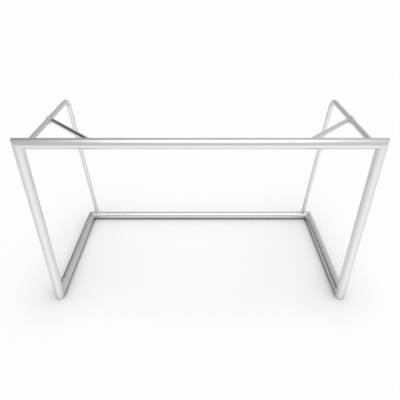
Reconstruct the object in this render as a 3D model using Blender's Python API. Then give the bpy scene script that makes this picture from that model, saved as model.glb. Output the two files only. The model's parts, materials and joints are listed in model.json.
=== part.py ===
"""A free-standing aluminium football goal frame, 2.5 m wide and 1.5 m high inside, bolted together from tubes.

It stands on the ground at z = 0. +X runs to the right and +Y to the rear, so the mouth faces -Y. The origin is
the middle of the footprint. Each piece is one object, and the left pieces mirror the right ones. Mating pieces
keep a gap of GAP. The cast pieces (corner connectors, spigots and saddles) are tapped for the bolts.
"""

import math
from collections import namedtuple

import bmesh
import bpy
from mathutils import Matrix, Vector

# The goal, in metres
MOUTH_WIDTH = 2.50
MOUTH_HEIGHT = 1.50
FRAME_DEPTH = 1.25  # from the posts' axes to the rear bar's axis

# Main tube of the front frame and the ground frame
TUBE_R = 0.040
TUBE_WALL = 0.003
TUBE_SIDES = 24

# Bent side tubes that carry the net
BOW_R = 0.020
BOW_WALL = 0.002
BOW_SIDES = 16
BOW_INSET = 0.070  # from the post's axis inwards to the bow's axis
BOW_REACH = 0.967  # from the posts' axes back to the corner where the bow's two straight runs would meet
BEND_R = 0.100
BEND_STEPS = 7

# Straight 45 degree braces between the bows and the crossbar
BRACE_R = 0.0175
BRACE_WALL = 0.002
BRACE_SETBACK = 0.477  # from the crossbar's axis back to where the brace's axis meets the bow's axis

# Cast connectors and spigots inside the main tube
CORE_R = 0.0365
CORE_WALL = 0.006
TOP_LEG = 0.150
REAR_LEG_X = 0.155
REAR_LEG_Y = 0.250
SPIGOT_REACH = 0.200  # from the post's axis
POST_BOLT_DROP = 0.110  # below the crossbar's axis
SPIGOT_BOLT_Y = 0.137  # behind the post's axis
REAR_BOLT_Y = 0.215  # ahead of the rear bar's axis

# Saddle plates that sit on the main tube, with a plug for the smaller tube
SADDLE_T = 0.005
SADDLE_HALF = 0.064
SADDLE_FULL = 0.046  # half-length of the plate's full width
SADDLE_ANGLE = math.radians(33.75)
SADDLE_TIP_ANGLE = math.radians(8.5)
SADDLE_BOLT = 0.052
BRACE_SADDLE_SHIFT = 0.008  # the brace's saddle is set outwards, to clear the brace
PLUG_REACH = 0.042
PLUG_CLEARANCE = 0.0006

# Two-part clamp round the bow that holds the brace's rear end
CLAMP_T = 0.004
CLAMP_WIDTH = 0.024
CLAMP_EAR_Z = 0.0335
CLAMP_EAR_T = 0.005
CLAMP_SPLIT = 0.0005  # each half's distance from the split plane
CLAMP_BOLT_Z = 0.0288
CLAMP_STEPS = 9

# Foot caps of the posts
CAP_T = 0.003
CAP_PLUG = 0.030
CAP_CHAMFER = 0.0012

GAP = 0.0003
RIVET_SINK = 0.0008  # below the wall's outer face, which curves away from the rivet nut's flat rim
RIVET_DROP = 0.0020  # from the wall's inner face to the rivet nut's bulge
RIVET_LENGTH = 0.017
HOLE_CLEARANCE = 0.0004
FASTENER_SIDES = 12
CUTTER_SIDES = 32
CUTTER_PHASE = math.radians(3)  # keeps a cutter's corners off the corners of what it cuts

# Places that follow from the sizes above
POST_X = MOUTH_WIDTH / 2 + TUBE_R
POST_Y = -FRAME_DEPTH / 2
REAR_Y = FRAME_DEPTH / 2
TOP_Z = MOUTH_HEIGHT + TUBE_R
GROUND_Z = TUBE_R
BOW_X = POST_X - BOW_INSET
BRACE_Y = POST_Y + BRACE_SETBACK

X_AXIS = Vector((1, 0, 0))
Y_AXIS = Vector((0, 1, 0))
Z_AXIS = Vector((0, 0, 1))

Finish = namedtuple("Finish", "colour roughness metallic")
TUBE_FINISH = Finish((0.80, 0.80, 0.81), 0.27, 1.0)
CAST_FINISH = Finish((0.66, 0.67, 0.68), 0.45, 1.0)
ZINC_FINISH = Finish((0.70, 0.74, 0.80), 0.30, 1.0)
PLASTIC_FINISH = Finish((0.42, 0.43, 0.44), 0.55, 0.0)

Bolt = namedtuple("Bolt", "shank flange height key length")
M5 = Bolt(0.0025, 0.0046, 0.0028, 0.0017, 0.018)
M8 = Bolt(0.0040, 0.0088, 0.0044, 0.0025, 0.020)
M10 = Bolt(0.0050, 0.0105, 0.0055, 0.0030, 0.016)


def clear_scene():
    for obj in list(bpy.data.objects):
        bpy.data.objects.remove(obj, do_unlink=True)


def make_material(name, finish):
    material = bpy.data.materials.new(name)
    material.use_nodes = True
    shader = material.node_tree.nodes["Principled BSDF"]
    shader.inputs["Base Color"].default_value = (*finish.colour, 1.0)
    shader.inputs["Roughness"].default_value = finish.roughness
    shader.inputs["Metallic"].default_value = finish.metallic
    return material


def add_object(name, bm, location, rotation=None):
    """Puts a bmesh into the scene at a place, with its normals made consistent."""
    bmesh.ops.recalc_face_normals(bm, faces=bm.faces)
    mesh = bpy.data.meshes.new(name)
    bm.to_mesh(mesh)
    bm.free()
    mesh.shade_smooth()
    mesh.set_sharp_from_angle(angle=math.radians(35))
    obj = bpy.data.objects.new(name, mesh)
    obj.location = location
    if rotation is not None:
        obj.rotation_mode = "QUATERNION"
        obj.rotation_quaternion = rotation
    bpy.context.scene.collection.objects.link(obj)
    return obj


def make_piece(obj, finish):
    """Makes an object a piece of the goal: it gets its material and its parent."""
    obj.data.materials.append(make_material(obj.name, finish))
    obj.parent = bpy.data.objects["goal_frame"]
    return obj


def make_helper(obj):
    """Makes an object a tool for Booleans, which isn't a piece of the goal."""
    obj.hide_render = True
    obj.display_type = "WIRE"
    return obj


def combine(obj, helpers, operation):
    for helper in helpers:
        modifier = obj.modifiers.new(helper.name, "BOOLEAN")
        modifier.operation = operation
        modifier.solver = "EXACT"
        modifier.object = helper


def turning_to(axis):
    return Vector(axis).to_track_quat("Z", "Y")


def turned(rings, sides, loop=False, phase=0.0):
    """A solid of stacked rings about Z. Each ring is (radius, z) or, for a hexagon, (half width over flats, z, True).

    The first and last rings are capped, or joined to each other when the profile is a closed loop.
    The phase turns the rings' corners about Z.
    """
    bm = bmesh.new()
    made = []
    for radius, z, *hexagonal in rings:
        ring = []
        for k in range(sides):
            angle = 2 * math.pi * k / sides + phase
            flat = math.radians((math.degrees(angle) + 30) % 60 - 30)
            r = radius / math.cos(flat) if hexagonal else radius
            ring.append(bm.verts.new((r * math.cos(angle), r * math.sin(angle), z)))
        made.append(ring)
    pairs = list(zip(made[:-1], made[1:]))
    if loop:
        pairs.append((made[-1], made[0]))
    else:
        bm.faces.new(reversed(made[0]))
        bm.faces.new(made[-1])
    for low, high in pairs:
        for k in range(sides):
            n = (k + 1) % sides
            bm.faces.new((low[k], low[n], high[n], high[k]))
    return bm


def cylinder(name, start, axis, radius, length, sides=CUTTER_SIDES):
    """A helper cylinder that begins at a point and runs along an axis."""
    bm = turned([(radius, 0), (radius, length)], sides, phase=CUTTER_PHASE)
    return make_helper(add_object(name, bm, start, turning_to(axis)))


def mitre_normal(first, second):
    """The normal of the mitre plane between two tubes that leave a corner along these directions."""
    return (first - second).normalized()


def tube(name, path, side, radius, wall, sides, start_normal=None, end_normal=None):
    """A hollow tube along a path in one plane whose normal is side. Its ends are square, or cut to a given plane."""
    bm = bmesh.new()
    origin = path[0]
    steps = [(b - a).normalized() for a, b in zip(path[:-1], path[1:])]
    rings = []
    for i, point in enumerate(path):
        before = steps[max(i - 1, 0)]
        after = steps[min(i, len(steps) - 1)]
        plane = (before + after).normalized()
        if i == 0 and start_normal is not None:
            plane = start_normal
        if i == len(path) - 1 and end_normal is not None:
            plane = end_normal
        across = side.cross(before)
        for r in (radius, radius - wall):
            ring = []
            for k in range(sides):
                angle = 2 * math.pi * k / sides
                offset = r * (math.cos(angle) * across + math.sin(angle) * side)
                offset -= before * (offset.dot(plane) / before.dot(plane))
                ring.append(bm.verts.new(point + offset - origin))
            rings.append(ring)
    outer, inner = rings[0::2], rings[1::2]
    bands = list(zip(outer[:-1], outer[1:])) + list(zip(inner[1:], inner[:-1]))
    bands += [(inner[0], outer[0]), (outer[-1], inner[-1])]
    for low, high in bands:
        for k in range(sides):
            n = (k + 1) % sides
            bm.faces.new((low[k], low[n], high[n], high[k]))
    return add_object(name, bm, origin)


def strip_solid(pairs, width):
    """Extrudes along Y, centred on y = 0, the strip in the XZ plane that lies between pairs of points."""
    bm = bmesh.new()
    layers = []
    for y in (-width / 2, width / 2):
        layers.append([[bm.verts.new((x, y, z)) for x, z in pair] for pair in pairs])
    front, back = layers
    for i in range(len(pairs) - 1):
        bm.faces.new((front[i][0], front[i][1], front[i + 1][1], front[i + 1][0]))
        bm.faces.new((back[i][0], back[i + 1][0], back[i + 1][1], back[i][1]))
        for j in (0, 1):
            bm.faces.new((front[i][j], front[i + 1][j], back[i + 1][j], back[i][j]))
    for i in (0, -1):
        bm.faces.new((front[i][0], front[i][1], back[i][1], back[i][0]))
    return bm


def saddle_blank():
    """The saddle plate about the main tube's axis, X, with its normal along +Z, before its underside is cut."""
    bm = bmesh.new()
    stations = [
        (-SADDLE_HALF, SADDLE_TIP_ANGLE),
        (-SADDLE_FULL, SADDLE_ANGLE),
        (SADDLE_FULL, SADDLE_ANGLE),
        (SADDLE_HALF, SADDLE_TIP_ANGLE),
    ]
    columns = 6
    grids = []
    for radius in (TUBE_R - SADDLE_T / 3, TUBE_R + GAP + SADDLE_T):
        grid = []
        for x, half_angle in stations:
            angles = [half_angle * (2 * k / columns - 1) for k in range(columns + 1)]
            grid.append([bm.verts.new((x, radius * math.sin(a), radius * math.cos(a))) for a in angles])
        grids.append(grid)
    under, top = grids
    for i in range(len(stations) - 1):
        for k in range(columns):
            bm.faces.new((top[i][k], top[i + 1][k], top[i + 1][k + 1], top[i][k + 1]))
            bm.faces.new((under[i][k], under[i][k + 1], under[i + 1][k + 1], under[i + 1][k]))
        for k in (0, columns):
            bm.faces.new((under[i][k], under[i + 1][k], top[i + 1][k], top[i][k]))
    for i in (0, -1):
        for k in range(columns):
            bm.faces.new((under[i][k], under[i][k + 1], top[i][k + 1], top[i][k]))
    return bm


def plug_helper(name, start, axis, radius, length):
    """A round plug with a tapered tip, which goes into the end of a smaller tube."""
    taper = 0.003
    bm = turned([(radius, 0), (radius, length - taper), (radius - taper / 2, length)], BOW_SIDES)
    return make_helper(add_object(name, bm, start, turning_to(axis)))


def add_saddle(name, centre, normal, plug_start, plug_axis, plug_radius):
    """A saddle plate centred on a point of a main tube that runs along X, with its plug."""
    rotation = Matrix((X_AXIS, normal.cross(X_AXIS), normal)).transposed().to_quaternion()
    obj = add_object(name, saddle_blank(), centre, rotation)
    root = plug_start + plug_axis * TUBE_R * 0.9
    plug = plug_helper("plug_" + name, root, plug_axis, plug_radius, SADDLE_T + PLUG_REACH)
    seat = cylinder("seat_" + name, centre - X_AXIS * 0.1, X_AXIS, TUBE_R + GAP, 0.2)
    combine(obj, [plug], "UNION")
    combine(obj, [seat], "DIFFERENCE")
    return make_piece(obj, CAST_FINISH)


def clamp_pairs():
    """The outline of one clamp half in the XZ plane, as pairs of inner and outer points, for the half at +X."""
    inner_r = BOW_R - CLAMP_T / 4
    outer_r = BOW_R + GAP + CLAMP_T
    outer_x = CLAMP_SPLIT + CLAMP_EAR_T
    inner_start = math.acos(CLAMP_SPLIT / inner_r)
    outer_start = math.acos(outer_x / outer_r)
    pairs = [((CLAMP_SPLIT, CLAMP_EAR_Z), (outer_x, CLAMP_EAR_Z))]
    for k in range(CLAMP_STEPS + 1):
        share = 1 - 2 * k / CLAMP_STEPS
        inner = (inner_r * math.cos(inner_start * share), inner_r * math.sin(inner_start * share))
        outer = (outer_r * math.cos(outer_start * share), outer_r * math.sin(outer_start * share))
        pairs.append((inner, outer))
    pairs.append(((CLAMP_SPLIT, -CLAMP_EAR_Z), (outer_x, -CLAMP_EAR_Z)))
    return pairs


def add_clamp_half(name, centre, outward, plug=None):
    bm = strip_solid(clamp_pairs(), CLAMP_WIDTH)
    rotation = Matrix((outward, Z_AXIS.cross(outward), Z_AXIS)).transposed().to_quaternion()
    obj = add_object(name, bm, centre, rotation)
    if plug is not None:
        combine(obj, [plug], "UNION")
    seat = cylinder("seat_" + name, centre - Y_AXIS * 0.1, Y_AXIS, BOW_R + GAP, 0.2)
    combine(obj, [seat], "DIFFERENCE")
    return make_piece(obj, ZINC_FINISH)


def add_bolt(name, size, seat, axis, holed=()):
    """A button-head bolt whose head sits on a point, facing along axis, and its hole in the pieces it goes through."""
    rings = [
        (size.shank, -size.length),
        (size.shank, 0),
        (size.flange, 0),
        (size.flange * 0.80, size.height * 0.75),
        (size.key, size.height, True),
        (size.key, size.height * 0.45, True),
    ]
    obj = add_object(name, turned(rings, FASTENER_SIDES), seat, turning_to(axis))
    below = size.length + 0.004
    hole = cylinder("hole_" + name, seat - axis * below, axis, size.shank + HOLE_CLEARANCE, below + 0.002, 16)
    for piece in holed:
        combine(piece, [hole], "DIFFERENCE")
    return make_piece(obj, ZINC_FINISH)


def add_nut(name, size, seat, axis):
    """A hexagon nut that starts at a seat and runs along axis."""
    bore = size.shank + HOLE_CLEARANCE
    flats = size.shank * 1.65
    height = size.shank * 1.7
    bm = turned([(bore, 0), (flats, 0, True), (flats, height, True), (bore, height)], FASTENER_SIDES, loop=True)
    return make_piece(add_object(name, bm, seat, turning_to(axis)), ZINC_FINISH)


def add_rivet_nut(name, size, seat, axis, wall, tube_piece):
    """A blind rivet nut set in a wall. The seat is on the wall's outer face, and axis points out of the wall."""
    bore = size.shank + HOLE_CLEARANCE
    sleeve = size.shank + 0.0022
    bulge_top = -(wall + RIVET_DROP)
    rings = [
        (bore, -RIVET_SINK),
        (sleeve, -RIVET_SINK),
        (sleeve, bulge_top),
        (sleeve + 0.002, bulge_top - 0.0005),
        (sleeve + 0.002, bulge_top - 0.004),
        (sleeve, bulge_top - 0.0055),
        (sleeve, -RIVET_LENGTH),
        (bore, -RIVET_LENGTH),
    ]
    obj = add_object(name, turned(rings, FASTENER_SIDES, loop=True), seat, turning_to(axis))
    hole = cylinder("hole_" + name, seat - axis * 0.010, axis, sleeve + GAP, 0.020, 16)
    combine(tube_piece, [hole], "DIFFERENCE")
    return make_piece(obj, ZINC_FINISH)


def bow_path(x):
    """The bow's centreline: back from the crossbar, round the bend, and down to the rear bar's axis."""
    corner = Vector((x, POST_Y + BOW_REACH, TOP_Z))
    foot = Vector((x, REAR_Y, GROUND_Z))
    down = (foot - corner).normalized()
    turn = Y_AXIS.angle(down)
    tangent = BEND_R * math.tan(turn / 2)
    centre = corner - Y_AXIS * tangent - Z_AXIS * BEND_R
    start = Vector((x, POST_Y + TUBE_R * 0.9, TOP_Z))
    path = [start]
    for k in range(BEND_STEPS + 1):
        angle = turn * k / BEND_STEPS
        path.append(centre + BEND_R * (Z_AXIS * math.cos(angle) + Y_AXIS * math.sin(angle)))
    path.append(foot - down * TUBE_R * 0.9)
    return path


def main_tube(name, path, side, **cuts):
    return make_piece(tube(name, path, side, TUBE_R, TUBE_WALL, TUBE_SIDES, **cuts), TUBE_FINISH)


def core_tube(name, path, side):
    return make_piece(tube(name, path, side, CORE_R, CORE_WALL, TUBE_SIDES), CAST_FINISH)


def add_crossbar():
    ends = []
    normals = []
    for sign in (-1, 1):
        normal = mitre_normal(Vector((-sign, 0, 0)), -Z_AXIS)
        ends.append(Vector((sign * POST_X, POST_Y, TOP_Z)) + normal * GAP / 2)
        normals.append(normal)
    return main_tube("crossbar", ends, Z_AXIS, start_normal=normals[0], end_normal=normals[1])


def add_rear_bar():
    ends = []
    normals = []
    for sign in (-1, 1):
        normal = mitre_normal(Vector((-sign, 0, 0)), -Y_AXIS)
        ends.append(Vector((sign * POST_X, REAR_Y, GROUND_Z)) + normal * GAP / 2)
        normals.append(normal)
    return main_tube("rear_ground_bar", ends, Z_AXIS, start_normal=normals[0], end_normal=normals[1])


def add_post(side, sign):
    """The post with its foot cap."""
    base = Vector((sign * POST_X, POST_Y, 0))
    normal = mitre_normal(Vector((-sign, 0, 0)), -Z_AXIS)
    top = base + Z_AXIS * TOP_Z - normal * GAP / 2
    post = main_tube(side + "_post", [base + Z_AXIS * (CAP_T + GAP), top], Y_AXIS, end_normal=normal)
    rings = [
        (TUBE_R - CAP_CHAMFER, 0),
        (TUBE_R, CAP_CHAMFER),
        (TUBE_R, CAP_T),
        (CORE_R, CAP_T),
        (CORE_R, CAP_PLUG),
        (CORE_R - CAP_T, CAP_PLUG),
        (CORE_R - CAP_T, 2 * CAP_T),
    ]
    make_piece(add_object(side + "_post_foot_cap", turned(rings, TUBE_SIDES), base), PLASTIC_FINISH)
    return post


def add_ground_side(side, sign, post_clearance):
    """The side's ground bar, and the spigot that joins it to the post."""
    axis_front = Vector((sign * POST_X, POST_Y, GROUND_Z))
    corner = Vector((sign * POST_X, REAR_Y, GROUND_Z))
    normal = mitre_normal(Vector((-sign, 0, 0)), -Y_AXIS)
    bar_path = [axis_front + Y_AXIS * 0.001, corner - normal * GAP / 2]
    bar = main_tube(side + "_ground_bar", bar_path, Z_AXIS, end_normal=normal)
    spigot_path = [axis_front + Y_AXIS * 0.010, axis_front + Y_AXIS * SPIGOT_REACH]
    spigot = core_tube(side + "_ground_spigot", spigot_path, Z_AXIS)
    for piece in (bar, spigot):
        combine(piece, [post_clearance], "DIFFERENCE")
    seat = axis_front + Y_AXIS * SPIGOT_BOLT_Y + Z_AXIS * (TUBE_R + GAP)
    add_bolt(side + "_spigot_bolt", M10, seat, Z_AXIS, (bar, spigot))
    return bar


def add_top_corner(side, sign, post):
    """The connector inside the top corner, with the bolt in the back of the post."""
    corner = Vector((sign * POST_X, POST_Y, TOP_Z))
    legs = [corner - Z_AXIS * TOP_LEG, corner, corner - X_AXIS * sign * TOP_LEG]
    connector = core_tube(side + "_top_corner_connector", legs, Y_AXIS)
    seat = corner + Vector((0, TUBE_R + GAP, -POST_BOLT_DROP))
    add_bolt(side + "_post_bolt", M8, seat, Y_AXIS, (post, connector))
    return connector


def add_rear_corner(side, sign, ground_bar):
    """The connector inside the rear corner, with the bolt in the top of the side's ground bar."""
    corner = Vector((sign * POST_X, REAR_Y, GROUND_Z))
    legs = [corner - Y_AXIS * REAR_LEG_Y, corner, corner - X_AXIS * sign * REAR_LEG_X]
    connector = core_tube(side + "_rear_corner_connector", legs, Z_AXIS)
    seat = corner - Y_AXIS * REAR_BOLT_Y + Z_AXIS * (TUBE_R + GAP)
    add_bolt(side + "_rear_connector_bolt", M10, seat, Z_AXIS, (ground_bar, connector))
    return connector


def add_saddle_bolts(prefix, sign, centre, normal, pieces):
    """The saddle's two bolts. Their places are named from the middle of the goal."""
    seats = []
    for place, shift in (("inner", -sign * SADDLE_BOLT), ("outer", sign * SADDLE_BOLT)):
        seat = centre + X_AXIS * shift + normal * (TUBE_R + SADDLE_T + 2 * GAP)
        add_bolt(f"{prefix}_bolt_{place}", M8, seat, normal, pieces)
        seats.append((place, seat))
    return seats


def add_bow(side, sign, crossbar, rear_bar, top_connector, rear_connector):
    """The net bow with its two saddles."""
    path = bow_path(sign * BOW_X)
    bow = make_piece(tube(side + "_net_bow", path, X_AXIS, BOW_R, BOW_WALL, BOW_SIDES), TUBE_FINISH)
    plug_radius = BOW_R - BOW_WALL - PLUG_CLEARANCE
    down = (path[-1] - path[-2]).normalized()
    joints = (
        ("front", Vector((sign * BOW_X, POST_Y, TOP_Z)), Y_AXIS, Y_AXIS, crossbar, top_connector),
        ("foot", Vector((sign * BOW_X, REAR_Y, GROUND_Z)), Z_AXIS, -down, rear_bar, rear_connector),
    )
    for place, centre, normal, plug_axis, bar, connector in joints:
        prefix = f"{side}_bow_{place}"
        saddle = add_saddle(prefix + "_saddle", centre, normal, centre, plug_axis, plug_radius)
        trim_r = TUBE_R + SADDLE_T + 2 * GAP
        trim = cylinder("trim_" + prefix, centre - X_AXIS * 0.1, X_AXIS, trim_r, 0.2)
        combine(bow, [trim], "DIFFERENCE")
        add_saddle_bolts(prefix, sign, centre, normal, (saddle, bar, connector))
    return bow


def add_clamp(side, sign, brace_axis, plug_radius):
    """The clamp that holds the brace to the bow. The half at the middle of the goal carries the brace's plug."""
    joint = Vector((sign * BOW_X, BRACE_Y, TOP_Z))
    centre = joint - Y_AXIS * (BOW_R + CLAMP_T)
    inward = Vector((-sign, 0, 0))
    reach = (BOW_R + CLAMP_T) * math.sqrt(2) + PLUG_REACH
    plug = plug_helper(f"plug_{side}_clamp", joint + brace_axis * BOW_R * 0.4, brace_axis, plug_radius, reach)
    inner = add_clamp_half(side + "_clamp_inner_half", centre, inward, plug)
    outer = add_clamp_half(side + "_clamp_outer_half", centre, -inward)
    ear_face = CLAMP_SPLIT + CLAMP_EAR_T + GAP
    for place, height in (("upper", CLAMP_BOLT_Z), ("lower", -CLAMP_BOLT_Z)):
        middle = centre + Z_AXIS * height
        add_bolt(f"{side}_clamp_bolt_{place}", M5, middle - inward * ear_face, -inward, (inner, outer))
        add_nut(f"{side}_clamp_nut_{place}", M5, middle + inward * ear_face, inward)


def add_brace(side, sign, crossbar):
    """The brace, its clamp on the bow, and its saddle and rivet nuts on the crossbar."""
    rear = Vector((sign * BOW_X, BRACE_Y, TOP_Z))
    front = Vector((sign * (BOW_X - BRACE_SETBACK), POST_Y, TOP_Z))
    axis = (front - rear).normalized()
    path = [rear + axis * BOW_R * 0.6, front - axis * TUBE_R * 0.6]
    brace = tube(side + "_corner_brace", path, Z_AXIS, BRACE_R, BRACE_WALL, BOW_SIDES)
    make_piece(brace, TUBE_FINISH)
    plug_radius = BRACE_R - BRACE_WALL - PLUG_CLEARANCE
    add_clamp(side, sign, axis, plug_radius)
    foot_x = front.x + sign * (TUBE_R + SADDLE_T + BRACE_SADDLE_SHIFT)
    centre = Vector((foot_x, POST_Y, TOP_Z))
    saddle = add_saddle(side + "_brace_saddle", centre, Y_AXIS, front, -axis, plug_radius)
    bow_trim = cylinder(f"trim_{side}_brace_rear", rear - Y_AXIS * 0.1, Y_AXIS, BOW_R + CLAMP_T + 2 * GAP, 0.2)
    bar_trim = cylinder(f"trim_{side}_brace_front", front - X_AXIS * 0.1, X_AXIS, TUBE_R + SADDLE_T + 2 * GAP, 0.2)
    combine(brace, [bow_trim, bar_trim], "DIFFERENCE")
    for place, seat in add_saddle_bolts(side + "_brace", sign, centre, Y_AXIS, (saddle,)):
        wall_face = seat - Y_AXIS * (SADDLE_T + 2 * GAP)
        add_rivet_nut(f"{side}_brace_rivet_nut_{place}", M8, wall_face, Y_AXIS, TUBE_WALL, crossbar)


def main():
    clear_scene()
    root = bpy.data.objects.new("goal_frame", None)
    bpy.context.scene.collection.objects.link(root)
    crossbar = add_crossbar()
    rear_bar = add_rear_bar()
    for side, sign in (("left", -1), ("right", 1)):
        base = Vector((sign * POST_X, POST_Y, -0.01))
        post_clearance = cylinder(side + "_post_clearance", base, Z_AXIS, TUBE_R + GAP, 0.12)
        post = add_post(side, sign)
        ground_bar = add_ground_side(side, sign, post_clearance)
        top_connector = add_top_corner(side, sign, post)
        rear_connector = add_rear_corner(side, sign, ground_bar)
        add_bow(side, sign, crossbar, rear_bar, top_connector, rear_connector)
        add_brace(side, sign, crossbar)


main()
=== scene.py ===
"""The looks of a free-standing aluminium football goal frame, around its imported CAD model.

Every tube, saddle, clamp, bolt, nut and cap gets a fine mesh that stands for its CAD node. The connectors,
spigots and rivet nuts inside the tubes keep their CAD shape. +X runs to the goal's right, +Y to its rear, and
+Z up.
"""

import json
import math
from collections import namedtuple

import bmesh
import bpy
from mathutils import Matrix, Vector


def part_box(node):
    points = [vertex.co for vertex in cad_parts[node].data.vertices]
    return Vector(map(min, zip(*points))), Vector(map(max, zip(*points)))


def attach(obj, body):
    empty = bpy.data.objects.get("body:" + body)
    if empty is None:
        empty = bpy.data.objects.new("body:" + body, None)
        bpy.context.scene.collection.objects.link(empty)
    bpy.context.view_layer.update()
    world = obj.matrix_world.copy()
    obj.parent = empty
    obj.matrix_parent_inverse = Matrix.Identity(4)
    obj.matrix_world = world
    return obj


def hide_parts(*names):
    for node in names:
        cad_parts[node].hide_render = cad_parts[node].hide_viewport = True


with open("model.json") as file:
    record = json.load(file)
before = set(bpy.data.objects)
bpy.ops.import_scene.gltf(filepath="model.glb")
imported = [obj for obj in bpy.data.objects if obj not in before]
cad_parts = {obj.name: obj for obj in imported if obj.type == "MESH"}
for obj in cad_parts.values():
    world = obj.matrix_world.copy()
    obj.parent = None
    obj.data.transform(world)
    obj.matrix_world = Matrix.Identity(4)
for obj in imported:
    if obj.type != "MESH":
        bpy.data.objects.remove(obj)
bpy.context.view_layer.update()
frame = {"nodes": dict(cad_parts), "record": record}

X_AXIS = Vector((1, 0, 0))
Y_AXIS = Vector((0, 1, 0))
Z_AXIS = Vector((0, 0, 1))
SIDES = (("left", -1), ("right", 1))

# Places and sizes that the frame gives
BAR_LOW, BAR_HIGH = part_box("crossbar")
REAR_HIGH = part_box("rear_ground_bar")[1]
BOW_LOW, BOW_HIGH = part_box("right_net_bow")
BRACE_LOW, BRACE_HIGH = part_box("right_corner_brace")
CLAMP_LOW, CLAMP_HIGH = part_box("right_clamp_outer_half")
TUBE_R = (BAR_HIGH.z - BAR_LOW.z) / 2
BOW_R = (BOW_HIGH.x - BOW_LOW.x) / 2
BRACE_R = (BRACE_HIGH.z - BRACE_LOW.z) / 2
POST_X = BAR_HIGH.x - TUBE_R
POST_Y = BAR_HIGH.y - TUBE_R
TOP_Z = BAR_HIGH.z - TUBE_R
REAR_Y = REAR_HIGH.y - TUBE_R
GROUND_Z = REAR_HIGH.z - TUBE_R
BOW_X = BOW_HIGH.x - BOW_R
CLAMP_Y = (CLAMP_LOW.y + CLAMP_HIGH.y) / 2
CLAMP_WIDTH = CLAMP_HIGH.y - CLAMP_LOW.y
CLAMP_EAR_Z = (CLAMP_HIGH.z - CLAMP_LOW.z) / 2

# Sizes that the boxes of the frame's pieces don't give
TUBE_WALL = 0.003
THIN_WALL = 0.002  # of the bows and braces
BOW_REACH = 0.967  # from the posts' axes back to the corner where the bow's two straight runs would meet
BEND_R = 0.100
SADDLE_T = 0.005
SADDLE_HALF = 0.064
SADDLE_ANGLE = math.radians(33.75)
SADDLE_SQUARENESS = 2.5  # the exponent of its outline, which is 2 for an ellipse
SADDLE_SOFT = 0.0016  # how far its upper edge is rounded
PLUG_REACH = 0.042
PLUG_CLEARANCE = 0.0006
# Steps that round the plug's tip, each with its distance in from the side and back from the end
PLUG_TIP = ((0.0, 0.004), (0.0005, 0.0015), (0.0020, 0.0))
CLAMP_T = 0.004
CLAMP_EAR_T = 0.005
CLAMP_SPLIT = 0.0005  # each half's distance from the split plane
CAP_DISC = 0.003
CAP_RIBS = 4
GAP = 0.0003
BRACE_Y = CLAMP_Y + BOW_R + CLAMP_T
BRACE_SETBACK = BRACE_Y - POST_Y

# Fineness of the meshes
TUBE_SIDES = 96
SADDLE_SIDES = 96
BOW_SIDES = 64
FASTENER_SIDES = 48
BEND_STEPS = 24
EDGE = 0.0007  # radius of a deburred tube end
HOLD = 0.0025  # the support ring's distance from the end, which keeps the long faces' shading straight

Bolt = namedtuple("Bolt", "shank flange height key pitch")
M5 = Bolt(0.0025, 0.0046, 0.0028, 0.0017, 0.00080)
M8 = Bolt(0.0040, 0.0088, 0.0044, 0.0025, 0.00125)
M10 = Bolt(0.0050, 0.0105, 0.0055, 0.0030, 0.00150)

# Camera
CAMERA_PLACE = Vector((0, -3.097, 2.667))
CAMERA_PITCH = math.radians(32.94)  # below the horizon
CAMERA_LENS = 34.24
CAMERA_SENSOR = 36.0
CAMERA_FAR = 500.0

# ---------------------------------------------------------------- meshes


def finish_mesh(name, bm, smooth_below=35.0):
    """Turns a bmesh into a shown object at the origin, smooth but for its sharp edges."""
    bmesh.ops.recalc_face_normals(bm, faces=bm.faces)
    mesh = bpy.data.meshes.new(name)
    bm.to_mesh(mesh)
    bm.free()
    mesh.shade_smooth()
    mesh.set_sharp_from_angle(angle=math.radians(smooth_below))
    obj = bpy.data.objects.new(name, mesh)
    bpy.context.scene.collection.objects.link(obj)
    return obj


def stand_for(node, obj, material):
    """Makes an object the shown piece for a CAD node."""
    obj.data.materials.append(material)
    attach(obj, "root")
    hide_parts(node)
    return obj


def hide_helper(obj):
    """Makes an object a tool for Booleans, which isn't shown."""
    obj.hide_render = True
    obj.hide_viewport = True
    return obj


def boolean(obj, helper, operation):
    modifier = obj.modifiers.new(helper.name, "BOOLEAN")
    modifier.operation = operation
    modifier.solver = "EXACT"
    modifier.object = helper


def join_rings(bm, rings, loop=False, capped=False):
    """Faces between rings of vertices, which may close on each other or be capped."""
    count = len(rings[0])
    pairs = list(zip(rings[:-1], rings[1:]))
    if loop:
        pairs.append((rings[-1], rings[0]))
    for low, high in pairs:
        for k in range(count):
            n = (k + 1) % count
            bm.faces.new((low[k], low[n], high[n], high[k]))
    if capped:
        bm.faces.new(reversed(rings[0]))
        bm.faces.new(rings[-1])


def plane_cut(point, normal):
    """How far along a line the plane lies, for the end of a tube."""

    def distance(start, direction):
        return (point - start).dot(normal) / direction.dot(normal)

    return distance


def cope_cut(point, axis, radius):
    """How far along a line that leaves a round bar its surface lies, for a tube end that fits on the bar."""

    def distance(start, direction):
        offset = start - point
        offset -= axis * offset.dot(axis)
        across = direction - axis * direction.dot(axis)
        a = across.length_squared
        b = offset.dot(across)
        c = offset.length_squared - radius**2
        return (-b + math.sqrt(max(b * b - a * c, 0.0))) / a

    return distance


def end_profile(outer, inner):
    """The rounded rim between the walls of a tube's end, as pairs of radius and distance from the cut."""
    rim = [(outer, HOLD), (outer, EDGE)]
    for degrees in (30, 60, 90):
        a = math.radians(degrees)
        rim.append((outer - EDGE * (1 - math.cos(a)), EDGE * (1 - math.sin(a))))
    for degrees in (90, 60, 30):
        a = math.radians(degrees)
        rim.append((inner + EDGE * (1 - math.cos(a)), EDGE * (1 - math.sin(a))))
    return rim + [(inner, EDGE), (inner, HOLD)]


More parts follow.
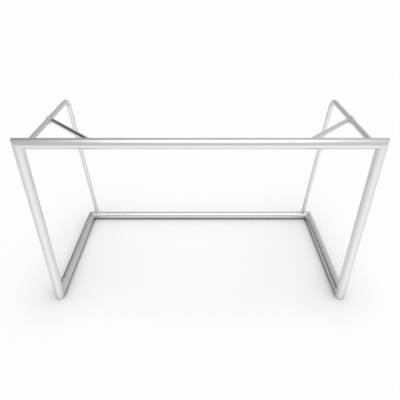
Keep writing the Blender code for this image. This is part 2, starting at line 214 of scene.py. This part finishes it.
def fine_tube(name, path, side, radius, wall, sides, start_cut, end_cut):
    """A hollow tube along a path in the plane whose normal is side, with rounded rims on its cut ends.

    Its grain attribute is the place across the tube and the length along it, for finishes that run along the
    tube. Its wear attribute is 1 on the rims of the ends and falls to 0 at HOLD from the cut.
    """
    steps = [(b - a).normalized() for a, b in zip(path[:-1], path[1:])]
    lengths = [0.0]
    for a, b in zip(path[:-1], path[1:]):
        lengths.append(lengths[-1] + (b - a).length)
    angles = [2 * math.pi * k / sides for k in range(sides)]
    bm = bmesh.new()
    grain = bm.verts.layers.float_vector.new("grain")
    wear = bm.verts.layers.float.new("wear")

    def ring(index, r, cut=None, inset=0.0):
        along = (steps[max(index - 1, 0)] + steps[min(index, len(steps) - 1)]).normalized()
        across = side.cross(along)
        inwards = along if index == 0 else -along
        made = []
        for a in angles:
            point = path[index] + r * (math.cos(a) * across + math.sin(a) * side)
            shift = 0.0
            if cut is not None:
                shift = cut(point, inwards) + inset
            vert = bm.verts.new(point + inwards * shift)
            place = lengths[index] + (shift if index == 0 else -shift)
            vert[grain] = (r * math.cos(a), r * math.sin(a), place)
            vert[wear] = 1.0 if cut is not None and inset < HOLD else 0.0
            made.append(vert)
        return made

    last = len(path) - 1
    rim = end_profile(radius, radius - wall)
    rings = [ring(0, r, start_cut, inset) for r, inset in reversed(rim)]
    rings += [ring(i, radius) for i in range(1, last)]
    rings += [ring(last, r, end_cut, inset) for r, inset in rim]
    rings += [ring(i, radius - wall) for i in range(last - 1, 0, -1)]
    join_rings(bm, rings, loop=True)
    return finish_mesh(name, bm, smooth_below=50.0)


def turned_mesh(bm, rings, centre, axis, sides, loop=False):
    """Adds a solid of stacked rings about an axis, each with a radius and a height.

    A third number is half the width across a hexagon's flats. The ring is then that hexagon, but round where
    the corners would stand out past its radius.
    """
    turn = axis.to_track_quat("Z", "Y")
    made = []
    for radius, height, *flats in rings:
        ring = []
        for k in range(sides):
            angle = 2 * math.pi * k / sides
            r = radius
            if flats:
                off_flat = math.radians((math.degrees(angle) + 30) % 60 - 30)
                r = min(radius, flats[0] / math.cos(off_flat))
            place = turn @ Vector((r * math.cos(angle), r * math.sin(angle), height))
            ring.append(bm.verts.new(centre + place))
        made.append(ring)
    join_rings(bm, made, loop=loop, capped=not loop)


# ---------------------------------------------------------------- pieces


def add_main_tube(node, start, end, side, cuts, material):
    obj = fine_tube(node + "_fine", [start, end], side, TUBE_R, TUBE_WALL, TUBE_SIDES, *cuts)
    return stand_for(node, obj, material)


def mitre_cut(corner, first, second):
    """The cut of the tube that leaves a corner along first, against the tube that leaves it along second."""
    normal = (first - second).normalized()
    return plane_cut(corner + normal * GAP / 2, normal)


def add_front_frame(material):
    """The crossbar and the two posts."""
    cuts = []
    for sign in (-1, 1):
        corner = Vector((sign * POST_X, POST_Y, TOP_Z))
        cuts.append(mitre_cut(corner, -sign * X_AXIS, -Z_AXIS))
    ends = [Vector((sign * POST_X, POST_Y, TOP_Z)) for sign in (-1, 1)]
    add_main_tube("crossbar", *ends, Z_AXIS, cuts, material)
    for name, sign in SIDES:
        top = Vector((sign * POST_X, POST_Y, TOP_Z))
        foot = Vector((sign * POST_X, POST_Y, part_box(name + "_post")[0].z))
        cuts = (plane_cut(foot, Z_AXIS), mitre_cut(top, -Z_AXIS, -sign * X_AXIS))
        add_main_tube(name + "_post", foot, top, Y_AXIS, cuts, material)


def add_ground_frame(material):
    """The rear ground bar and the two side ones, whose front ends fit round the posts."""
    corners = [Vector((sign * POST_X, REAR_Y, GROUND_Z)) for sign in (-1, 1)]
    cuts = [mitre_cut(c, (-X_AXIS if c.x > 0 else X_AXIS), -Y_AXIS) for c in corners]
    add_main_tube("rear_ground_bar", *corners, Z_AXIS, cuts, material)
    for name, sign in SIDES:
        front = Vector((sign * POST_X, POST_Y, GROUND_Z))
        rear = Vector((sign * POST_X, REAR_Y, GROUND_Z))
        cuts = (cope_cut(front, Z_AXIS, TUBE_R + GAP), mitre_cut(rear, -Y_AXIS, -sign * X_AXIS))
        add_main_tube(name + "_ground_bar", front, rear, Z_AXIS, cuts, material)


def bow_path(sign):
    """The bow's centreline: back from the crossbar, round the bend, and down to the rear bar's axis."""
    x = sign * BOW_X
    corner = Vector((x, POST_Y + BOW_REACH, TOP_Z))
    foot = Vector((x, REAR_Y, GROUND_Z))
    down = (foot - corner).normalized()
    turn = Y_AXIS.angle(down)
    centre = corner - Y_AXIS * BEND_R * math.tan(turn / 2) - Z_AXIS * BEND_R
    path = [Vector((x, POST_Y, TOP_Z))]
    for k in range(BEND_STEPS + 1):
        a = turn * k / BEND_STEPS
        path.append(centre + BEND_R * (Z_AXIS * math.cos(a) + Y_AXIS * math.sin(a)))
    path.append(foot)
    return path


def add_bow(name, sign, material):
    path = bow_path(sign)
    seat = TUBE_R + SADDLE_T + 2 * GAP
    cuts = (cope_cut(path[0], X_AXIS, seat), cope_cut(path[-1], X_AXIS, seat))
    obj = fine_tube(name + "_net_bow_fine", path, X_AXIS, BOW_R, THIN_WALL, BOW_SIDES, *cuts)
    stand_for(name + "_net_bow", obj, material)
    return (path[-1] - path[-2]).normalized()


def brace_ends(sign):
    rear = Vector((sign * BOW_X, BRACE_Y, TOP_Z))
    front = Vector((sign * (BOW_X - BRACE_SETBACK), POST_Y, TOP_Z))
    return rear, front


def add_brace(name, sign, material):
    rear, front = brace_ends(sign)
    cuts = (
        cope_cut(rear, Y_AXIS, BOW_R + CLAMP_T + 2 * GAP),
        cope_cut(front, X_AXIS, TUBE_R + SADDLE_T + 2 * GAP),
    )
    obj = fine_tube(name + "_corner_brace_fine", [rear, front], Z_AXIS, BRACE_R, THIN_WALL, BOW_SIDES, *cuts)
    stand_for(name + "_corner_brace", obj, material)


def add_plug(obj, root, axis, radius, length):
    """Joins to a fitting the round plug that goes into the end of a smaller tube."""
    bm = bmesh.new()
    rings = [(radius, 0)]
    rings += [(radius - inwards, length - back) for inwards, back in PLUG_TIP]
    turned_mesh(bm, rings, root, axis, BOW_SIDES)
    boolean(obj, hide_helper(finish_mesh("plug_of_" + obj.name, bm)), "UNION")


def saddle_mesh(centre, normal):
    """A rounded plate that wraps a bar along X, with a soft upper edge."""
    third = normal.cross(X_AXIS)
    inner = TUBE_R + GAP
    power = 2 / SADDLE_SQUARENESS
    layers = [(0.0, SADDLE_T)]
    layers += [(share, SADDLE_T) for share in (0.3, 0.6, 0.85)]
    for degrees in (0, 22, 45, 67, 90):
        a = math.radians(degrees)
        layers.append((1 - 0.07 * (1 - math.sin(a)), SADDLE_T - SADDLE_SOFT * (1 - math.cos(a))))
    layers += [(1.0, 0.0004), (0.99, 0.0)]
    layers += [(share, 0.0) for share in (0.85, 0.6, 0.3)]
    layers.append((0.0, 0.0))
    bm = bmesh.new()
    rings = []
    for share, height in layers:
        ring = []
        for k in range(SADDLE_SIDES if share else 1):
            t = 2 * math.pi * k / SADDLE_SIDES
            c, s = math.cos(t), math.sin(t)
            x = math.copysign(abs(c) ** power, c) * SADDLE_HALF * share
            a = math.copysign(abs(s) ** power, s) * SADDLE_ANGLE * share
            outwards = normal * math.cos(a) + third * math.sin(a)
            ring.append(bm.verts.new(centre + X_AXIS * x + (inner + height) * outwards))
        rings.append(ring)
    join_rings(bm, rings[1:-1])
    for tip, rim in ((rings[0][0], rings[1]), (rings[-1][0], rings[-2])):
        for k in range(SADDLE_SIDES):
            bm.faces.new((tip, rim[k], rim[(k + 1) % SADDLE_SIDES]))
    return bm


def add_saddle(node, centre, normal, plug_start, plug_axis, plug_radius, material):
    obj = finish_mesh(node + "_fine", saddle_mesh(centre, normal))
    root = plug_start + plug_axis * (TUBE_R + GAP + SADDLE_T * 0.55)
    add_plug(obj, root, plug_axis, plug_radius, PLUG_REACH)
    return stand_for(node, obj, material)


def clamp_outline():
    """The outline of one clamp half in the XZ plane, for the half at +X, with filleted ears."""
    inner_r = BOW_R + GAP
    outer_r = inner_r + CLAMP_T
    face = CLAMP_SPLIT + CLAMP_EAR_T
    corner = 0.0025
    fillet = 0.004
    reach = outer_r + fillet
    fillet_z = math.sqrt(reach**2 - (face + fillet) ** 2)
    start = math.atan2(fillet_z, face + fillet)
    inner_start = math.acos(CLAMP_SPLIT / inner_r)
    steps = 28
    upper = [(CLAMP_SPLIT, CLAMP_EAR_Z)]
    for degrees in (0, 30, 60, 90):
        a = math.radians(degrees)
        upper.append((face - corner + corner * math.sin(a), CLAMP_EAR_Z - corner + corner * math.cos(a)))
    for k in range(6):
        a = math.pi + start * k / 5
        upper.append((face + fillet + fillet * math.cos(a), fillet_z + fillet * math.sin(a)))
    outer = []
    for k in range(1, steps):
        a = start - 2 * start * k / steps
        outer.append((outer_r * math.cos(a), outer_r * math.sin(a)))
    lower = [(x, -z) for x, z in reversed(upper)]
    inner = []
    for k in range(steps + 1):
        a = -inner_start + 2 * inner_start * k / steps
        inner.append((inner_r * math.cos(a), inner_r * math.sin(a)))
    return upper + outer + lower + inner


def add_clamp_half(node, centre, outward, material, plug=None):
    """One half of the two-part clamp. plug is the axis and radius of the plug for the brace."""
    bm = bmesh.new()
    layers = []
    for y in (-CLAMP_WIDTH / 2, CLAMP_WIDTH / 2):
        layer = [bm.verts.new(centre + outward * x + Y_AXIS * y + Z_AXIS * z) for x, z in clamp_outline()]
        layers.append(layer)
    join_rings(bm, layers, capped=True)
    obj = finish_mesh(node + "_fine", bm, smooth_below=30.0)
    bevel = obj.modifiers.new("edges", "BEVEL")
    bevel.width = 0.0006
    bevel.segments = 2
    bevel.limit_method = "ANGLE"
    bevel.angle_limit = math.radians(50)
    if plug is not None:
        joint = centre + Y_AXIS * (BRACE_Y - CLAMP_Y)
        axis, radius = plug
        depth = BOW_R + GAP + CLAMP_T * 0.5
        add_plug(obj, joint + axis * depth * math.sqrt(2), axis, radius, PLUG_REACH)
    return stand_for(node, obj, material)


def face_point(node, axis):
    """The middle of the face of a node's box that looks along an axis."""
    low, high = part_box(node)
    half = (high - low) / 2
    return (low + high) / 2 + axis * sum(abs(half[i] * axis[i]) for i in range(3))


def add_bolt(node, size, axis, material):
    """A domed button-head bolt with a hexagon socket and a threaded tip."""
    low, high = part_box(node)
    length = sum(abs((high - low)[i] * axis[i]) for i in range(3)) - size.height
    seat = face_point(node, axis) - axis * size.height
    root = size.shank - 0.6 * size.pitch
    chamfer = 0.0004
    thread_end = -0.35 * length
    depth = -length + chamfer
    rings = [(root - chamfer, -length), (root, depth)]
    while depth + size.pitch < thread_end:
        rings += [(size.shank, depth + size.pitch / 2), (root, depth + size.pitch)]
        depth += size.pitch
    rings += [(size.shank, depth + size.pitch), (size.shank, 0), (size.flange - 0.0003, 0)]
    rings += [(size.flange, 0.0003), (size.flange, size.height * 0.22)]
    rim = size.flange - 0.0004
    crown = size.key * 1.45
    for k in range(8):
        a = math.radians(90 * k / 7)
        rings.append((crown + (rim - crown) * math.cos(a), size.height * (0.25 + 0.75 * math.sin(a))))
    corner = size.key / math.cos(math.radians(30)) + 0.0001
    rings += [
        (corner + 0.0003, size.height),
        (corner, size.height - 0.0002, size.key),
        (corner, size.height * 0.42, size.key),
        (size.key * 0.3, size.height * 0.30),
    ]
    bm = bmesh.new()
    turned_mesh(bm, rings, seat, axis, FASTENER_SIDES)
    return stand_for(node, finish_mesh(node + "_fine", bm, 38.0), material)


def add_nut(node, size, axis, material):
    """A hexagon nut with chamfered corners and a threaded bore."""
    seat = face_point(node, -axis)
    height = (face_point(node, axis) - seat).length
    bore = size.shank + 0.0004
    flats = size.shank * 1.65
    corner = flats / math.cos(math.radians(30)) + 0.0001
    chamfer = 0.0009
    rings = [(bore + 0.0004, 0)]
    for k in range(4):
        rings.append((flats * 0.97 + (corner - flats * 0.97) * k / 3, chamfer * k / 3, flats))
    for k in range(3, -1, -1):
        rings.append((flats * 0.97 + (corner - flats * 0.97) * k / 3, height - chamfer * k / 3, flats))
    rings.append((bore + 0.0004, height))
    turns = int((height - 0.0008) / size.pitch)
    for k in range(turns):
        z = height - 0.0004 - k * size.pitch
        rings += [(bore, z), (bore + 0.0005, z - size.pitch / 2)]
    rings.append((bore, 0.0004))
    bm = bmesh.new()
    turned_mesh(bm, rings, seat, axis, FASTENER_SIDES, loop=True)
    return stand_for(node, finish_mesh(node + "_fine", bm, 38.0), material)


def add_foot_cap(name, material):
    """The plastic cap under a post: a disc with a rounded rim, and a hollow ribbed plug inside the tube."""
    node = name + "_post_foot_cap"
    low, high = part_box(node)
    base = Vector(((low.x + high.x) / 2, (low.y + high.y) / 2, low.z))
    plug_r = TUBE_R - TUBE_WALL - 0.0005
    groove_r = plug_r - 0.001
    bore_r = plug_r - 0.003
    plug_top = high.z - low.z
    rib_start = CAP_DISC + 0.003
    rib_pitch = 0.006
    soft = 0.0012
    rings = []
    for k in range(5):
        a = math.radians(90 * k / 4)
        rings.append((TUBE_R - soft * (1 - math.sin(a)), soft * (1 - math.cos(a))))
    rings += [(TUBE_R, CAP_DISC - 0.0002), (TUBE_R - 0.0002, CAP_DISC)]
    rings += [(groove_r, CAP_DISC), (groove_r, rib_start)]
    for k in range(CAP_RIBS):
        z = rib_start + rib_pitch * k
        rings += [(plug_r, z + 0.001), (plug_r, z + 0.002), (groove_r, z + 0.003), (groove_r, z + 0.005)]
    rings += [(plug_r - 0.0015, plug_top), (bore_r, plug_top), (bore_r, 2 * CAP_DISC)]
    bm = bmesh.new()
    turned_mesh(bm, rings, base, Z_AXIS, TUBE_SIDES)
    return stand_for(node, finish_mesh(node + "_fine", bm), material)


def add_side(name, sign, tube, cast, zinc, plastic):
    """Everything on one side of the goal but its main tubes."""
    down = add_bow(name, sign, tube)
    add_brace(name, sign, tube)
    bow_plug = BOW_R - THIN_WALL - PLUG_CLEARANCE
    brace_plug = BRACE_R - THIN_WALL - PLUG_CLEARANCE
    front = Vector((sign * BOW_X, POST_Y, TOP_Z))
    foot = Vector((sign * BOW_X, REAR_Y, GROUND_Z))
    add_saddle(name + "_bow_front_saddle", front, Y_AXIS, front, Y_AXIS, bow_plug, cast)
    add_saddle(name + "_bow_foot_saddle", foot, Z_AXIS, foot, -down, bow_plug, cast)
    rear, brace_front = brace_ends(sign)
    to_bow = (rear - brace_front).normalized()
    plate = Vector((face_point(name + "_brace_saddle", Z_AXIS).x, POST_Y, TOP_Z))
    start = brace_front + to_bow * (TUBE_R * (math.sqrt(2) - 1))
    add_saddle(name + "_brace_saddle", plate, Y_AXIS, start, to_bow, brace_plug, cast)
    inward = Vector((-sign, 0, 0))
    clamp = Vector((sign * BOW_X, CLAMP_Y, TOP_Z))
    add_clamp_half(name + "_clamp_inner_half", clamp, inward, zinc, plug=(-to_bow, brace_plug))
    add_clamp_half(name + "_clamp_outer_half", clamp, -inward, zinc)
    for place in ("upper", "lower"):
        add_bolt(f"{name}_clamp_bolt_{place}", M5, -inward, zinc)
        add_nut(f"{name}_clamp_nut_{place}", M5, inward, zinc)
    for place in ("inner", "outer"):
        add_bolt(f"{name}_bow_front_bolt_{place}", M8, Y_AXIS, zinc)
        add_bolt(f"{name}_brace_bolt_{place}", M8, Y_AXIS, zinc)
        add_bolt(f"{name}_bow_foot_bolt_{place}", M8, Z_AXIS, zinc)
    add_bolt(name + "_post_bolt", M8, Y_AXIS, zinc)
    add_bolt(name + "_spigot_bolt", M10, Z_AXIS, zinc)
    add_bolt(name + "_rear_connector_bolt", M10, Z_AXIS, zinc)
    add_foot_cap(name, plastic)


# ---------------------------------------------------------------- finishes


def add_node(tree, kind, inputs=None, **settings):
    """Adds a shader node. An input is a value, or a socket to link from."""
    node = tree.nodes.new(kind)
    for key, value in settings.items():
        setattr(node, key, value)
    for key, value in (inputs or {}).items():
        if isinstance(value, bpy.types.NodeSocket):
            tree.links.new(value, node.inputs[key])
        else:
            node.inputs[key].default_value = value
    return node


def new_material(name):
    material = bpy.data.materials.new(name)
    material.use_nodes = True
    tree = material.node_tree
    return material, tree, tree.nodes["Principled BSDF"]


NOISE_SPAN = (0.3, 0.7)  # nearly all of a noise's values lie between these


def noise(tree, coordinates, stretch, detail=2.0, roughness=0.5):
    """Noise with its own scale along each axis, in features a metre."""
    scaled = add_node(tree, "ShaderNodeVectorMath", {0: coordinates, 1: stretch}, operation="MULTIPLY")
    inputs = {"Vector": scaled.outputs[0], "Scale": 1.0, "Detail": detail, "Roughness": roughness}
    return add_node(tree, "ShaderNodeTexNoise", inputs).outputs["Fac"]


def remap(tree, value, low, high, to_low, to_high):
    inputs = {"Value": value, "From Min": low, "From Max": high, "To Min": to_low, "To Max": to_high}
    return add_node(tree, "ShaderNodeMapRange", inputs).outputs["Result"]


def math_node(tree, operation, first, second):
    return add_node(tree, "ShaderNodeMath", {0: first, 1: second}, operation=operation).outputs[0]


def mix_value(tree, share, first, second):
    return add_node(tree, "ShaderNodeMix", {0: share, 2: first, 3: second}).outputs[0]


def mix_colour(tree, share, first, second):
    """A mix of two colours. Either is a socket to link from, or three values."""
    colours = [c if isinstance(c, bpy.types.NodeSocket) else (*c, 1.0) for c in (first, second)]
    inputs = {0: share, 6: colours[0], 7: colours[1]}
    return add_node(tree, "ShaderNodeMix", inputs, data_type="RGBA").outputs[2]


def grey(value, blue=0.0):
    return (value, value, value + blue)


TUBE_DARK = grey(0.77)
TUBE_LIGHT = grey(0.82, 0.002)
TUBE_SCUFFED = grey(0.89)  # where it is scratched or worn
TUBE_ROUGHNESS = (0.17, 0.22)
CAST_DARK = grey(0.77)
CAST_LIGHT = grey(0.87, 0.005)
CAST_ROUGHNESS = (0.26, 0.36)
ZINC_BLUE = (0.77, 0.80, 0.845)
ZINC_NEUTRAL = (0.87, 0.87, 0.88)
ZINC_SPANGLE = (0.92, 0.93, 0.95)
ZINC_ROUGHNESS = (0.20, 0.30)
PLASTIC_DARK = grey(0.42)
PLASTIC_LIGHT = grey(0.55)
PLASTIC_ROUGHNESS = (0.46, 0.60)


def mottle(tree, first, first_range, second, second_range):
    """The sum of two noises, each spread over a range of its own."""
    first = remap(tree, first, *NOISE_SPAN, *first_range)
    second = remap(tree, second, *NOISE_SPAN, *second_range)
    return math_node(tree, "ADD", first, second)


def coat(tree, shader, colour, rough, height, strength, depth):
    """Gives a shader its colour, its roughness, and a bump with a strength and a depth in metres."""
    bump = add_node(tree, "ShaderNodeBump", {"Strength": strength, "Distance": depth, "Height": height})
    tree.links.new(colour, shader.inputs["Base Color"])
    tree.links.new(rough, shader.inputs["Roughness"])
    tree.links.new(bump.outputs["Normal"], shader.inputs["Normal"])


def tube_finish():
    """Satin anodised extruded tube: faint die lines and cloudiness along its length, with worn rims."""
    material, tree, shader = new_material("satin_anodised_tube")
    place = add_node(tree, "ShaderNodeAttribute", attribute_name="grain").outputs["Vector"]
    worn = add_node(tree, "ShaderNodeAttribute", attribute_name="wear").outputs["Fac"]
    lines = noise(tree, place, (1100, 1100, 1.5), detail=3.0)
    clouds = noise(tree, place, (9, 9, 3.5), detail=4.0, roughness=0.6)
    scratches = noise(tree, place, (420, 420, 11), detail=2.0)
    specks = noise(tree, place, (5200, 5200, 5200), detail=1.0)
    scratch = remap(tree, scratches, 0.68, 0.74, 0.0, 1.0)
    tone = mottle(tree, lines, (0.0, 0.5), clouds, (0.0, 0.5))
    colour = mix_colour(tree, tone, TUBE_DARK, TUBE_LIGHT)
    colour = mix_colour(tree, math_node(tree, "MULTIPLY", scratch, 0.25), colour, TUBE_SCUFFED)
    colour = mix_colour(tree, math_node(tree, "MULTIPLY", worn, 0.5), colour, TUBE_SCUFFED)
    rough = mottle(tree, clouds, TUBE_ROUGHNESS, lines, (0.0, 0.03))
    rough = math_node(tree, "ADD", rough, math_node(tree, "MULTIPLY", scratch, 0.08))
    rough = math_node(tree, "ADD", rough, math_node(tree, "MULTIPLY", worn, 0.10))
    height = math_node(tree, "ADD", lines, math_node(tree, "MULTIPLY", specks, 0.25))
    height = math_node(tree, "SUBTRACT", height, math_node(tree, "MULTIPLY", scratch, 0.6))
    coat(tree, shader, colour, rough, height, 0.35, 0.00003)
    shader.inputs["Metallic"].default_value = 1.0
    return material


def cast_finish():
    """Fine blasted cast aluminium: an even grain, with patches that are slightly lighter and rougher."""
    material, tree, shader = new_material("blasted_cast_aluminium")
    place = add_node(tree, "ShaderNodeTexCoord").outputs["Object"]
    grains = noise(tree, place, (2600, 2600, 2600), detail=2.0)
    patches = noise(tree, place, (45, 45, 45), detail=4.0, roughness=0.6)
    tone = mottle(tree, grains, (0.0, 0.5), patches, (0.0, 0.5))
    colour = mix_colour(tree, tone, CAST_DARK, CAST_LIGHT)
    rough = mottle(tree, patches, CAST_ROUGHNESS, grains, (0.0, 0.06))
    coat(tree, shader, colour, rough, grains, 0.45, 0.00012)
    shader.inputs["Metallic"].default_value = 1.0
    return material


def zinc_finish():
    """Bright zinc plate with a faint blue passivation that drifts in hue, and small spangles."""
    material, tree, shader = new_material("blue_passivated_zinc")
    place = add_node(tree, "ShaderNodeTexCoord").outputs["Object"]
    drift = noise(tree, place, (60, 60, 60), detail=3.0, roughness=0.6)
    fine = noise(tree, place, (900, 900, 900), detail=3.0)
    colour = mix_colour(tree, remap(tree, drift, 0.35, 0.65, 0.0, 1.0), ZINC_BLUE, ZINC_NEUTRAL)
    colour = mix_colour(tree, remap(tree, fine, 0.55, 0.75, 0.0, 0.35), colour, ZINC_SPANGLE)
    rough = mottle(tree, drift, ZINC_ROUGHNESS, fine, (0.0, 0.08))
    coat(tree, shader, colour, rough, fine, 0.30, 0.00005)
    shader.inputs["Metallic"].default_value = 1.0
    return material


def plastic_finish():
    """Grey moulded polyamide with a fine spark-eroded texture and scuffs."""
    material, tree, shader = new_material("grey_polyamide")
    place = add_node(tree, "ShaderNodeTexCoord").outputs["Object"]
    texture = noise(tree, place, (3200, 3200, 3200), detail=2.0)
    scuffs = noise(tree, place, (70, 70, 220), detail=5.0, roughness=0.65)
    colour = mix_colour(tree, remap(tree, scuffs, 0.4, 0.75, 0.0, 1.0), PLASTIC_DARK, PLASTIC_LIGHT)
    rough = mottle(tree, scuffs, PLASTIC_ROUGHNESS, texture, (0.0, 0.06))
    coat(tree, shader, colour, rough, texture, 0.5, 0.00008)
    return material


# ---------------------------------------------------------------- floor, light and camera

# The studio, as seen from the goal. The overhead softbox is a rectangle at height 1, with its low and high
# edges along X and Y and the softness of its edges. A glow has an azimuth and an elevation in degrees, a
# sharpness and the brightness it adds or takes away. Azimuth 0 is behind the goal, 90 to its right and 180 in
# front of it.
BASE_LIGHT = 0.53
LEAST_LIGHT = 0.02
SOFTBOX_X = (-0.33, 0.39)
SOFTBOX_Y = (-1.06, 0.16)
SOFTBOX_EDGE = 0.06
SOFTBOX_LIGHT = 3.5
SOFTBOX_SHEEN = 0.215  # the softbox's share of its light that reflections show
GLOWS = (
    (-66, 24, 6.5, -0.47),
    (-100, 42, 4.0, -0.08),
    (4, 10, 13.0, 0.20),
    (6, 42, 9.0, -0.11),
    (12, 62, 12.0, 0.19),
    (88, 12, 5.0, 0.18),
    (100, 42, 4.0, 0.13),
    (180, 30, 12.0, 0.13),
    (180, 4, 14.0, -0.10),
    (168, -42, 2.4, 0.37),
)
BELOW_LIGHT = 0.23  # what is added below the horizon, where only reflections show it
BELOW_FULL = -0.45  # all of it is added where a direction's Z is lower than this

# The floor, and the shade painted into its colour near the bars: how far the painted shade reaches and how
# strong it is
FLOOR_HALF = 120.0
FLOOR_COLOUR = (0.85, 0.85, 0.85)
PAINTED_SHADE_REACH = 0.42
PAINTED_SHADE_POWER = 0.55
PAINTED_SHADE_MIRROR_POWER = 2.0  # how much stronger the painted shade is in reflections


def smooth_range(tree, value, start, end, to_start, to_end):
    """A smooth change from one value to another while the input goes from start to end."""
    inputs = {"Value": value, "From Min": start, "From Max": end, "To Min": to_start, "To Max": to_end}
    return add_node(tree, "ShaderNodeMapRange", inputs, interpolation_type="SMOOTHSTEP").outputs["Result"]


def add_floor():
    """A plain floor, with shade painted into its colour near the bars. The tubes mirror the studio's light
    below it, dimmed by a stronger painted shade near the bars.
    """
    bm = bmesh.new()
    bmesh.ops.create_grid(bm, x_segments=1, y_segments=1, size=FLOOR_HALF)
    floor = finish_mesh("floor", bm)
    material, tree, shader = new_material("pale_floor")
    shader.inputs["Roughness"].default_value = 0.9
    shader.inputs["Specular IOR Level"].default_value = 0.0
    # Painted shade: the floor's colour darkens near the bars, where less of the studio can be seen from it.
    painted_shade_factor = add_node(tree, "ShaderNodeAmbientOcclusion", {"Distance": PAINTED_SHADE_REACH}).outputs["AO"]
    painted_shade_factor = math_node(tree, "POWER", painted_shade_factor, PAINTED_SHADE_POWER)
    tree.links.new(mix_colour(tree, painted_shade_factor, (0, 0, 0), FLOOR_COLOUR), shader.inputs["Base Color"])
    # Painted shade in reflections: glossy rays pass through the floor to the studio, dimmed more strongly
    # near the bars.
    mirrored_shade_factor = math_node(tree, "POWER", painted_shade_factor, PAINTED_SHADE_MIRROR_POWER)
    mirrored_shade_tint = mix_colour(tree, mirrored_shade_factor, (0, 0, 0), (1, 1, 1))
    see_through = add_node(tree, "ShaderNodeBsdfTransparent", {"Color": mirrored_shade_tint}).outputs["BSDF"]
    mirrored = add_node(tree, "ShaderNodeLightPath").outputs["Is Glossy Ray"]
    surface = add_node(tree, "ShaderNodeMixShader", {0: mirrored, 1: shader.outputs["BSDF"], 2: see_through})
    tree.links.new(surface.outputs[0], tree.nodes["Material Output"].inputs["Surface"])
    floor.data.materials.append(material)


def softbox(tree, direction):
    """The brightness of the overhead softbox in a direction."""
    parts = add_node(tree, "ShaderNodeSeparateXYZ", {"Vector": direction}).outputs
    height = math_node(tree, "MAXIMUM", parts["Z"], 0.001)
    total = SOFTBOX_LIGHT
    for part, (low, high) in ((parts["X"], SOFTBOX_X), (parts["Y"], SOFTBOX_Y)):
        place = math_node(tree, "DIVIDE", part, height)
        rise = smooth_range(tree, place, low - SOFTBOX_EDGE, low + SOFTBOX_EDGE, 0.0, 1.0)
        fall = smooth_range(tree, place, high - SOFTBOX_EDGE, high + SOFTBOX_EDGE, 1.0, 0.0)
        total = math_node(tree, "MULTIPLY", math_node(tree, "MULTIPLY", rise, fall), total)
    return total


def add_studio():
    """An overhead softbox in a soft dome of light. The camera sees plain white behind the floor.

    Reflections show the softbox dimmer than it lights the floor, and the tubes don't throw it on the floor.
    """
    world = bpy.data.worlds.new("studio")
    bpy.context.scene.world = world
    world.use_nodes = True
    tree = world.node_tree
    path = add_node(tree, "ShaderNodeLightPath").outputs
    bounced = math_node(tree, "MINIMUM", path["Diffuse Depth"], 1.0)
    share = smooth_range(tree, bounced, 0.0, 1.0, SOFTBOX_SHEEN, 0.0)
    share = mix_value(tree, path["Is Glossy Ray"], 1.0, share)
    direction = add_node(tree, "ShaderNodeTexCoord").outputs["Generated"]
    total = math_node(tree, "MULTIPLY", softbox(tree, direction), share)
    height = add_node(tree, "ShaderNodeSeparateXYZ", {"Vector": direction}).outputs["Z"]
    base = smooth_range(tree, height, BELOW_FULL, 0.0, BASE_LIGHT + BELOW_LIGHT, BASE_LIGHT)
    total = math_node(tree, "ADD", total, base)
    for azimuth, elevation, sharpness, brightness in GLOWS:
        a, e = math.radians(azimuth), math.radians(elevation)
        towards = (math.sin(a) * math.cos(e), math.cos(a) * math.cos(e), math.sin(e))
        inputs = {0: direction, 1: towards}
        facing = add_node(tree, "ShaderNodeVectorMath", inputs, operation="DOT_PRODUCT").outputs["Value"]
        power = math_node(tree, "MULTIPLY", math_node(tree, "SUBTRACT", facing, 1.0), sharpness)
        glow = add_node(tree, "ShaderNodeMath", {0: power}, operation="EXPONENT").outputs[0]
        total = math_node(tree, "ADD", math_node(tree, "MULTIPLY", glow, brightness), total)
    total = math_node(tree, "MAXIMUM", total, LEAST_LIGHT)
    strength = math_node(tree, "MAXIMUM", total, path["Is Camera Ray"])
    tree.links.new(strength, tree.nodes["Background"].inputs["Strength"])
    tree.nodes["Background"].inputs["Color"].default_value = (1, 1, 1, 1)


def add_camera():
    camera = bpy.data.objects.new("camera", bpy.data.cameras.new("camera"))
    camera.location = CAMERA_PLACE
    camera.rotation_euler = (math.pi / 2 - CAMERA_PITCH, 0, 0)
    camera.data.lens = CAMERA_LENS
    camera.data.sensor_width = CAMERA_SENSOR
    camera.data.clip_end = CAMERA_FAR
    bpy.context.scene.collection.objects.link(camera)
    bpy.context.scene.camera = camera


# ---------------------------------------------------------------- the goal

add_camera()
add_studio()
add_floor()
bpy.context.scene.view_settings.view_transform = "Standard"

tube_material = tube_finish()
cast_material = cast_finish()
zinc_material = zinc_finish()
plastic_material = plastic_finish()

add_front_frame(tube_material)
add_ground_frame(tube_material)
for side_name, side_sign in SIDES:
    add_side(side_name, side_sign, tube_material, cast_material, zinc_material, plastic_material)

# The connectors, spigots and rivet nuts, which keep their CAD shape
slots = {part["node"]: part["material_slot"] for part in frame["record"]["subparts"]}
for node_name, node_object in frame["nodes"].items():
    if not node_object.hide_render:
        node_object.data.materials.clear()
        kept = cast_material if slots[node_name] == "cast_fitting" else zinc_material
        node_object.data.materials.append(kept)
